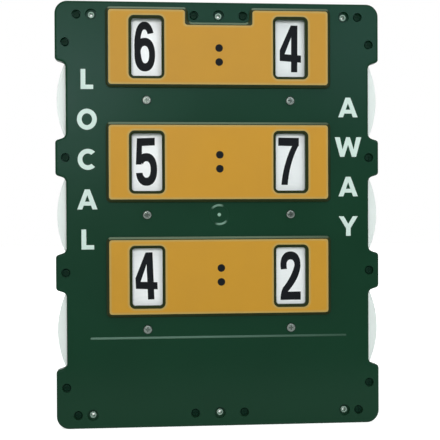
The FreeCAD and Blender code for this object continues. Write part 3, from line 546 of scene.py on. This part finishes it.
# Bold condensed numbers, 67 mm high on their baseline, the round ones a little over.
boxy = 0.88
numberShapes = {
    0: ring((0, 34), (14.9, 35.7), (5.8, 24.2), boxy),
    1: [[(7.8, 0), (7.8, 67.3), (0.6, 67.3), (-11, 55), (-11, 45.1), (-1.4, 50.1), (-1.4, 0)]],
    2: arcBand((0, 50), (14.7, 20.1), (5.8, 8.4), (195, 215), (0, 0), boxy) + [
        bend((14.7, 50), (13.9, 31.6), (-3.9, 11.7)) + [(14.9, 11.7), (14.9, -0.3), (-14.8, -0.3)]
        + bend((-14.8, -0.3), (-14.7, 10.5), (-11.2, 17.4)) + bend((-11.2, 17.4), (1.6, 33), (5.8, 50))],
    3: (arcBand((0, 51.3), (13.9, 18.6), (5.3, 7.8), (196, 206), (-70, -70), boxy)
        + arcBand((0, 21), (14.9, 21.8), (6.1, 11.2), (75, 75), (-194, -204), boxy)
        + [block(-4.7, 3, 31.4, 41.6)]),
    4: [block(1.2, 10.4, -0.3, 67.5),
        [(-15.5, 15.9), (15.7, 13.7), (15.7, 24.1), (-15.5, 26.3)],
        [(0.4, 67.5), (-15.5, 31.2), (-15.5, 25.4), (-8.4, 25.4), (1.2, 50.6), (1.2, 67.5)]],
    5: ([[(-13.2, 56), (12.3, 57), (12.3, 68), (-13.2, 67.3)],
         [(-13.2, 67.3), (-15.1, 29.6), (-6.8, 29.6), (-6, 57)]]
        + arcBand((0, 22.5), (15.3, 23.5), (6, 11.8), (137, 146), (-170, -160), boxy)),
    6: (arcBand((0, 34.2), (14.8, 35.6), (6.1, 24.2), (270, 270), (30, 44), boxy)
        + ring((0, 22.4), (14.8, 24.1), (6.2, 12.5), boxy)),
    7: [block(-15.1, 15.1, 56, 68),
        bend((15.1, 57.5), (1.9, 33), (-0.7, -0.6)) + bend((-10, -0.6), (-7.4, 31), (5.7, 57.5))],
}

# Geometric capitals on their baseline.
capHeightMm = 28.5
letterShapes = {
    "L": [block(-8.6, -1.9, 0, 28.5), block(-8.6, 9.2, 0, 6.2)],
    "O": ring((0, 14.2), (14, 15), (7.3, 8.4)),
    "C": arcBand((1, 14.2), (14.4, 15), (7.7, 8.4), (46, 50), (314, 310)),
    "A": [[(-14.3, 0), (-3.5, 28.5), (3.5, 28.5), (14.3, 0), (7.2, 0), (0, 20.4), (-7.2, 0)],
          block(-9.5, 9.5, 5.4, 11)],
    "W": [[(-19.5, 28.5), (-12, 28.5), (-8.2, 10.5), (-2.8, 28.5), (2.8, 28.5), (8.2, 10.5),
           (12, 28.5), (19.5, 28.5), (11.8, 0), (5.6, 0), (0, 17.5), (-5.6, 0), (-11.8, 0)]],
    "Y": [[(-14, 28.5), (-6.6, 28.5), (0, 17.4), (6.6, 28.5), (14, 28.5), (3.4, 11.2), (3.4, 0),
           (-3.4, 0), (-3.4, 11.2)]],
}


# moves a flat shape: turned clockwise, then shifted
def placed(shapes, x, y, turn=0):
    c = math.cos(math.radians(turn))
    s = math.sin(math.radians(turn))
    return [[(x + u * c + v * s, y - u * s + v * c) for u, v in polygon] for polygon in shapes]


def signedArea(polygon):
    pairs = zip(polygon, polygon[1:] + polygon[:1])
    return sum(a[0] * b[1] - b[0] * a[1] for a, b in pairs) / 2


inkFilm = {
    "thicknessMm": 0.08,
    "rootMm": 0.02,  # the film starts this far inside the face, so that no gap shows
    "mergeMm": 1e-4,  # points closer than this become one
}


# A printed film: the shapes merged into one flat skin of ink on a front face. The triangulation
# fills the hull of the shapes, and a triangle with no source polygon is bare.
def printFilm(name, shapes, frontY, material, body):
    points = []
    faces = []
    for polygon in shapes:
        if signedArea(polygon) < 0:
            polygon = polygon[::-1]
        faces.append(list(range(len(points), len(points) + len(polygon))))
        points += [Vector(p) for p in polygon]
    coords, _, triangles, _, _, sources = delaunay_2d_cdt(points, [], faces, 0, inkFilm["mergeMm"])
    mesh = bpy.data.meshes.new(name)
    film = bmesh.new()
    root = inkFilm["rootMm"] * mm
    verts = [film.verts.new((p.x * mm, frontY + root, p.y * mm)) for p in coords]
    for triangle, source in zip(triangles, sources):
        if source:
            film.faces.new([verts[i] for i in triangle])
    bmesh.ops.delete(film, geom=[v for v in film.verts if not v.link_faces], context="VERTS")
    grown = bmesh.ops.extrude_face_region(film, geom=film.faces[:])
    moved = [g for g in grown["geom"] if isinstance(g, bmesh.types.BMVert)]
    bmesh.ops.translate(film, verts=moved, vec=(0, -(inkFilm["thicknessMm"] * mm + root), 0))
    bmesh.ops.recalc_face_normals(film, faces=film.faces[:])
    film.to_mesh(mesh)
    film.free()
    mesh.materials.append(material)
    piece = bpy.data.objects.new(name, mesh)
    scene.collection.objects.link(piece)
    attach(piece, body)


scoreNumbers = {
    "baselineMm": 43.2,  # from the pivot to the foot of a number
    "middleMm": 33.7,  # from the foot to the middle of a number
    "stepDegrees": 45,
    # the number in the window, how far the print leans clockwise in degrees, and how far it stands
    # to the right and up in mm: no disc is printed or set quite straight
    "shown": {
        "top_left": (6, -0.6, -2.4, 1.0), "top_right": (4, 0.4, 1.9, -0.3),
        "middle_left": (5, -0.3, -0.8, -0.3), "middle_right": (7, 0.8, -1.8, 0.0),
        "bottom_left": (4, -2.1, -1.9, -0.7), "bottom_right": (2, 0.0, 0.4, -3.3),
    },
}

for place, (shown, lean, right, up) in scoreNumbers["shown"].items():
    centre = frontCentre("number_disc_" + place)
    middle = scoreNumbers["middleMm"]
    shapes = []
    for number, outline in numberShapes.items():
        turn = (number - shown) * scoreNumbers["stepDegrees"]
        upright = placed(placed(outline, 0, -middle), right,
                         scoreNumbers["baselineMm"] + middle + up, lean)
        shapes += placed(upright, centre.x / mm, centre.z / mm, turn)
    printFilm("printed_numbers_" + place, shapes, centre.y,
              finishes["inkPrintedBlack"], "disc_" + place)
print("numbers printed on", len(scoreNumbers["shown"]), "discs")

# Two dots part the scores on each label, as on any clock face.
scoreDots = {
    "diameterMm": 11.0,
    "outlineDegrees": 9,  # step between the points of a dot's outline
    "pitchMm": 20.0,
    # from the middle of a label to the middle of its pair; the rows are printed a little unevenly
    "offsetMm": {"top": (0.3, -11.0), "middle": (0.6, 0.45), "bottom": (2.1, 2.2)},
}

for row in rowNames:
    label = frontCentre(f"score_label_{row}")
    radius = scoreDots["diameterMm"] / 2
    shift, rise = scoreDots["offsetMm"][row]
    dots = []
    for step in (0.5, -0.5):
        center = (label.x / mm + shift, label.z / mm + rise + step * scoreDots["pitchMm"])
        dots.append([ellipsePoint(center, (radius, radius), a)
                     for a in range(0, 360, scoreDots["outlineDegrees"])])
    printFilm(f"printed_dots_{row}", dots, label.y, finishes["inkPrintedBlack"], "board")

sideWords = {
    "left": {"word": "LOCAL", "columnMm": -188.3, "topMm": 193.7, "pitchMm": 57.05},
    "right": {"word": "AWAY", "columnMm": 188.4, "topMm": 154.9, "pitchMm": 57.47},
}
lookFromMm = -1000  # well in front of the board


# depth of the front shell's surface at a column and level, found by looking in from the front
def shellFrontY(xMm, zMm):
    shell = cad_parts["front_shell"]
    start = Vector(metres((xMm, lookFromMm, zMm)))
    hit, spot, _, _ = shell.ray_cast(start, Vector((0, 1, 0)))
    if not hit:
        raise ValueError("no shell surface there")
    return spot.y


for side, word in sideWords.items():
    shapes = []
    for i, letter in enumerate(word["word"]):
        middle = word["topMm"] - i * word["pitchMm"]
        shapes += placed(letterShapes[letter], word["columnMm"], middle - capHeightMm / 2)
    frontY = shellFrontY(word["columnMm"], word["topMm"] - word["pitchMm"] / 2)
    printFilm("printed_word_" + side, shapes, frontY, finishes["inkPrintedMint"], "board")
print("dots and side words printed")

studio = {
    "ambient": 0.4,
    "ambientColor": "#F4F8F6",
    "frontRoom": 0.15,  # the room behind the photographer, dimmer than the white round the object
    "frontRoomDegrees": (20, 45),
    "floorSpan": 14.0,
    "floorColor": "#E6E8E8",
    "floorLift": (0.72, 1.0),  # white added to the floor for the eye: beside the object, far away
    "floorLiftReach": (0.7, 2.4),
}

softboxes = {
    "keySoftbox": {"color": "#FFFDF8", "watts": 14.0, "size": (0.5, 0.5),
                   "place": (-0.47, -2.2, 0.5), "aim": (0.0, 0.0, 0.0)},
    "fillSoftbox": {"color": "#F4F8FF", "watts": 8.5, "size": (0.5, 0.5),
                    "place": (0.87, -2.2, 0.7), "aim": (0.0, 0.0, 0.0)},
    "highSoftbox": {"color": "#F4F8FF", "watts": 4.0, "size": (0.5, 0.4),
                    "place": (0.18, -2.2, 0.73), "aim": (0.0, 0.0, 0.0)},
    "backSoftbox": {"color": "#FFFDF8", "watts": 22.0, "size": (0.9, 0.7),
                    "place": (0.7, 2.2, 0.9), "aim": (0.0, 0.0, 0.0)},
    # hangs in front over the board, so that its sloped and rounded edges catch a bright line
    "topSoftbox": {"color": "#F4F8FF", "watts": 3.0, "size": (0.8, 0.5),
                   "place": (0.0, -0.75, 1.2), "aim": (0.0, 0.0, -0.1)},
}


# what the eye, mirrors and glass see of the surroundings, as against light that falls on things
def seenDirectly(tree):
    path = addNode(tree, "ShaderNodeLightPath")
    mirror = addNode(tree, "ShaderNodeMath", {"operation": "MAXIMUM"}, {
        0: path.outputs["Is Camera Ray"], 1: path.outputs["Is Glossy Ray"]})
    return addNode(tree, "ShaderNodeMath", {"operation": "MAXIMUM"}, {
        0: mirror.outputs["Value"], 1: path.outputs["Is Transmission Ray"]}).outputs["Value"]


def makeWorld(settings):
    world = bpy.data.worlds.new("studioWorld")
    world.use_nodes = True
    tree = world.node_tree
    tree.nodes.clear()
    ambient = addNode(tree, "ShaderNodeBackground", {}, {
        "Color": hexColor(settings["ambientColor"]), "Strength": settings["ambient"]})
    place = addNode(tree, "ShaderNodeTexCoord")
    front = addNode(tree, "ShaderNodeVectorMath", {"operation": "DOT_PRODUCT"}, {
        0: place.outputs["Generated"], 1: (0, -1, 0)})
    dim, bright = [math.cos(math.radians(angle)) for angle in settings["frontRoomDegrees"]]
    room = addNode(tree, "ShaderNodeMapRange", {"interpolation_type": "SMOOTHSTEP"}, {
        "Value": front.outputs["Value"], "From Min": bright, "From Max": dim,
        "To Min": 1.0, "To Max": settings["frontRoom"]})
    path = addNode(tree, "ShaderNodeLightPath")
    seen = addNode(tree, "ShaderNodeMath", {"operation": "MAXIMUM"}, {
        0: room.outputs["Result"], 1: path.outputs["Is Camera Ray"]})
    white = addNode(tree, "ShaderNodeBackground", {}, {
        "Color": (1, 1, 1, 1), "Strength": seen.outputs["Value"]})
    mix = addNode(tree, "ShaderNodeMixShader", {}, {
        0: seenDirectly(tree), 1: ambient.outputs["Background"], 2: white.outputs["Background"]})
    addNode(tree, "ShaderNodeOutputWorld", {}, {"Surface": mix.outputs["Shader"]})
    scene.world = world


# Plain pale floor: matt paint that keeps the shadow, lifted to white for the eye further away.
def makeFloor(settings):
    material = newMaterial("floorPaintPale")
    tree = material.node_tree
    place = addNode(tree, "ShaderNodeTexCoord")
    away = addNode(tree, "ShaderNodeVectorMath", {"operation": "LENGTH"}, {
        0: place.outputs["Object"]})
    near, far = settings["floorLift"]
    start, end = settings["floorLiftReach"]
    lift = addNode(tree, "ShaderNodeMapRange", {"interpolation_type": "SMOOTHSTEP"}, {
        "Value": away.outputs["Value"], "From Min": start, "From Max": end,
        "To Min": near, "To Max": far})
    strength = addNode(tree, "ShaderNodeMath", {"operation": "MULTIPLY"}, {
        0: lift.outputs["Result"], 1: seenDirectly(tree)})
    paint = addNode(tree, "ShaderNodeBsdfDiffuse", {}, {"Color": hexColor(settings["floorColor"])})
    glow = addNode(tree, "ShaderNodeEmission", {}, {"Strength": strength.outputs["Value"]})
    both = addNode(tree, "ShaderNodeAddShader", {}, {
        0: paint.outputs["BSDF"], 1: glow.outputs["Emission"]})
    addNode(tree, "ShaderNodeOutputMaterial", {}, {"Surface": both.outputs["Shader"]})
    mesh = bpy.data.meshes.new("studioFloor")
    span = settings["floorSpan"] / 2
    corners = [(-span, -span, 0), (span, -span, 0), (span, span, 0), (-span, span, 0)]
    mesh.from_pydata(corners, [], [(0, 1, 2, 3)])
    mesh.materials.append(material)
    floor = bpy.data.objects.new("studioFloor", mesh)
    floor.location = (0, 0, startBox[0][2])
    scene.collection.objects.link(floor)


def addSoftbox(name, settings):
    lamp = bpy.data.lights.new(name, "AREA")
    lamp.shape = "RECTANGLE"
    lamp.size, lamp.size_y = settings["size"]
    lamp.energy = settings["watts"]
    lamp.color = hexColor(settings["color"])[:3]
    box = bpy.data.objects.new(name, lamp)
    box.location = settings["place"]
    aim = Vector(settings["aim"]) - Vector(settings["place"])
    box.rotation_euler = aim.to_track_quat("-Z", "Y").to_euler()
    scene.collection.objects.link(box)


makeWorld(studio)
makeFloor(studio)
for name, settings in softboxes.items():
    addSoftbox(name, settings)
print("studio lit")

# The view of the photograph, found from the board's corners, in the frame's own axes.
cameraView = {
    "placeMm": (-114.131, -1397.6, 6.039),
    "yaw": 0.083226,
    "pitch": -0.0099656,
    "roll": -0.0045018,
    "focalPixels": 961.854,
    "framePixels": 440,
    "sensorMm": 36.0,
}


def addCamera(view):
    level = Vector((math.sin(view["yaw"]), math.cos(view["yaw"]), 0))
    across = Vector((math.cos(view["yaw"]), -math.sin(view["yaw"]), 0))
    up = Vector((0, 0, 1))
    forward = math.cos(view["pitch"]) * level + math.sin(view["pitch"]) * up
    upright = math.cos(view["pitch"]) * up - math.sin(view["pitch"]) * level
    right = math.cos(view["roll"]) * across + math.sin(view["roll"]) * upright
    top = math.cos(view["roll"]) * upright - math.sin(view["roll"]) * across
    data = bpy.data.cameras.new("photoCamera")
    data.sensor_width = view["sensorMm"]
    data.lens = view["focalPixels"] * view["sensorMm"] / view["framePixels"]
    camera = bpy.data.objects.new("photoCamera", data)
    turn = Matrix((right, top, -forward)).transposed().to_4x4()
    camera.matrix_world = Matrix.Translation(Vector(view["placeMm"]) * mm) @ turn
    scene.collection.objects.link(camera)
    scene.camera = camera


addCamera(cameraView)
